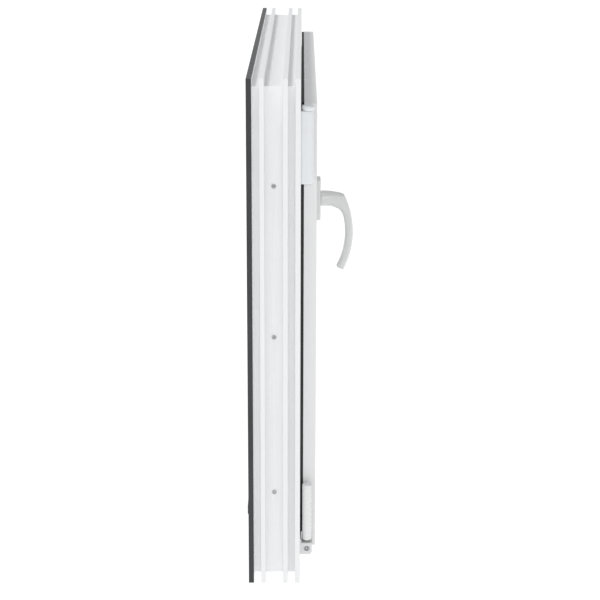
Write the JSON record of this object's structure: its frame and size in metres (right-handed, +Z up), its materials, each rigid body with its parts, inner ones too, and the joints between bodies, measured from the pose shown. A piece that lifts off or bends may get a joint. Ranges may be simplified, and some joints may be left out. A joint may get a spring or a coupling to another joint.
{
  "type": "tilt-and-turn window",
  "caption": "PVC tilt-and-turn window: ribbed outer frame, overlapping double-glazed sash, covered hinges and a bowed lever handle.",
  "frame": {"origin": "under the middle of the sill, half way through the frame's depth, where the window stands in the wall opening", "axes": "+Z up, X along the width with the hinges at -X and the handle at +X, -Y towards the room, +Y towards the weather"},
  "size_m": [0.7, 0.1482, 0.6],
  "materials": {
    "white_pvc": "smooth white extruded PVC",
    "decor_foil": "anthracite embossed foil",
    "dark_cap": "moulded",
    "seal_rubber": "black EPDM",
    "zinc_steel": "zinc plated",
    "hard_steel": "zinc plated, turned",
    "clear_glass": "float glass",
    "spacer_aluminium": "rolled",
    "block_plastic": "moulded",
    "hinge_cap_white": "moulded",
    "bracket_white": "lacquered zinc casting",
    "handle_shell": "moulded, satin",
    "handle_lacquer": "satin lacquer on an aluminium casting"
  },
  "bodies": {
    "frame": {"frame_jamb_hinge": "white_pvc", "frame_jamb_lock": "white_pvc", "frame_head": "white_pvc", "frame_sill": "white_pvc", "frame_foil": "decor_foil", "frame_steels": "zinc_steel", "frame_steel_screws": "hard_steel", "frame_gasket": "seal_rubber", "drain_caps": "dark_cap", "keep_plates": "zinc_steel", "top_hinge_bracket": "zinc_steel", "top_hinge_pin": "hard_steel", "top_hinge_cover": "hinge_cap_white", "bracket_screws": "hard_steel", "bottom_hinge_bracket": "bracket_white", "bottom_adjusting_screw": "hard_steel"},
    "carrier": {"swivel_pin": "hard_steel"},
    "sash": {"sash_stile_hinge": "white_pvc", "sash_stile_lock": "white_pvc", "sash_rail_top": "white_pvc", "sash_rail_bottom": "white_pvc", "sash_foil": "decor_foil", "sash_steels": "zinc_steel", "sash_gasket": "seal_rubber", "glass_outer": "clear_glass", "glass_inner": "clear_glass", "glass_spacer": "spacer_aluminium", "glazing_blocks": "block_plastic", "beads_upright": "white_pvc", "beads_level": "white_pvc", "glazing_gasket_outer": "seal_rubber", "glazing_gasket_inner": "seal_rubber", "sash_hinge_band": "zinc_steel", "tilt_pin": "hard_steel", "sash_hinge_cover": "hinge_cap_white", "band_screws": "hard_steel", "gearbox_housing": "zinc_steel", "faceplate_side": "zinc_steel", "faceplate_top": "zinc_steel", "faceplate_bottom": "zinc_steel", "faceplate_screws": "hard_steel", "corner_drives": "zinc_steel", "guide_stud": "hard_steel", "rosette_base": "zinc_steel", "rosette_cover": "handle_shell", "handle_screws": "hard_steel"},
    "arm": {"scissor_arm": "zinc_steel", "arm_cap": "hinge_cap_white"},
    "handle": {"lever": "handle_lacquer", "spindle": "hard_steel", "drive_pinion": "hard_steel"},
    "side_rod": {"drive_rod_side": "zinc_steel", "cams_side": "hard_steel"},
    "top_rod": {"drive_rod_top": "zinc_steel", "cams_top": "hard_steel"},
    "bottom_rod": {"drive_rod_bottom": "zinc_steel", "cams_bottom": "hard_steel"}
  },
  "joints": [
    {"name": "sash_turn", "type": "hinge", "parent": "frame", "child": "carrier", "pos_m": [-0.3265, -0.0382, 0.04], "axis": [0, 0, -1], "range_deg": [0, 100]},
    {"name": "sash_tilt", "type": "hinge", "parent": "carrier", "child": "sash", "pos_m": [-0.3265, -0.0382, 0.049], "axis": [1, 0, 0], "range_deg": [0, 8]},
    {"name": "arm_swing", "type": "hinge", "parent": "carrier", "child": "arm", "pos_m": [-0.3265, -0.0382, 0.5635], "axis": [0, 0, -1], "range_deg": [0, 16.1]},
    {"name": "handle_turn", "type": "hinge", "parent": "sash", "child": "handle", "pos_m": [0.283, -0.06, 0.312], "axis": [0, 1, 0], "range_deg": [0, 180]},
    {"name": "side_rod_slide", "type": "slide", "parent": "sash", "child": "side_rod", "axis": [0, 0, -1], "range_m": [0, 0.0365]},
    {"name": "top_rod_slide", "type": "slide", "parent": "sash", "child": "top_rod", "axis": [1, 0, 0], "range_m": [0, 0.0365]},
    {"name": "bottom_rod_slide", "type": "slide", "parent": "sash", "child": "bottom_rod", "axis": [-1, 0, 0], "range_m": [0, 0.0365]}
  ],
  "couplings": [
    {"joint": "arm_swing", "follows": "sash_tilt", "ratio": 2},
    {"joint": "side_rod_slide", "follows": "handle_turn", "m_per_rad": 0.011459},
    {"joint": "top_rod_slide", "follows": "handle_turn", "m_per_rad": 0.011459},
    {"joint": "bottom_rod_slide", "follows": "handle_turn", "m_per_rad": 0.011459}
  ]
}
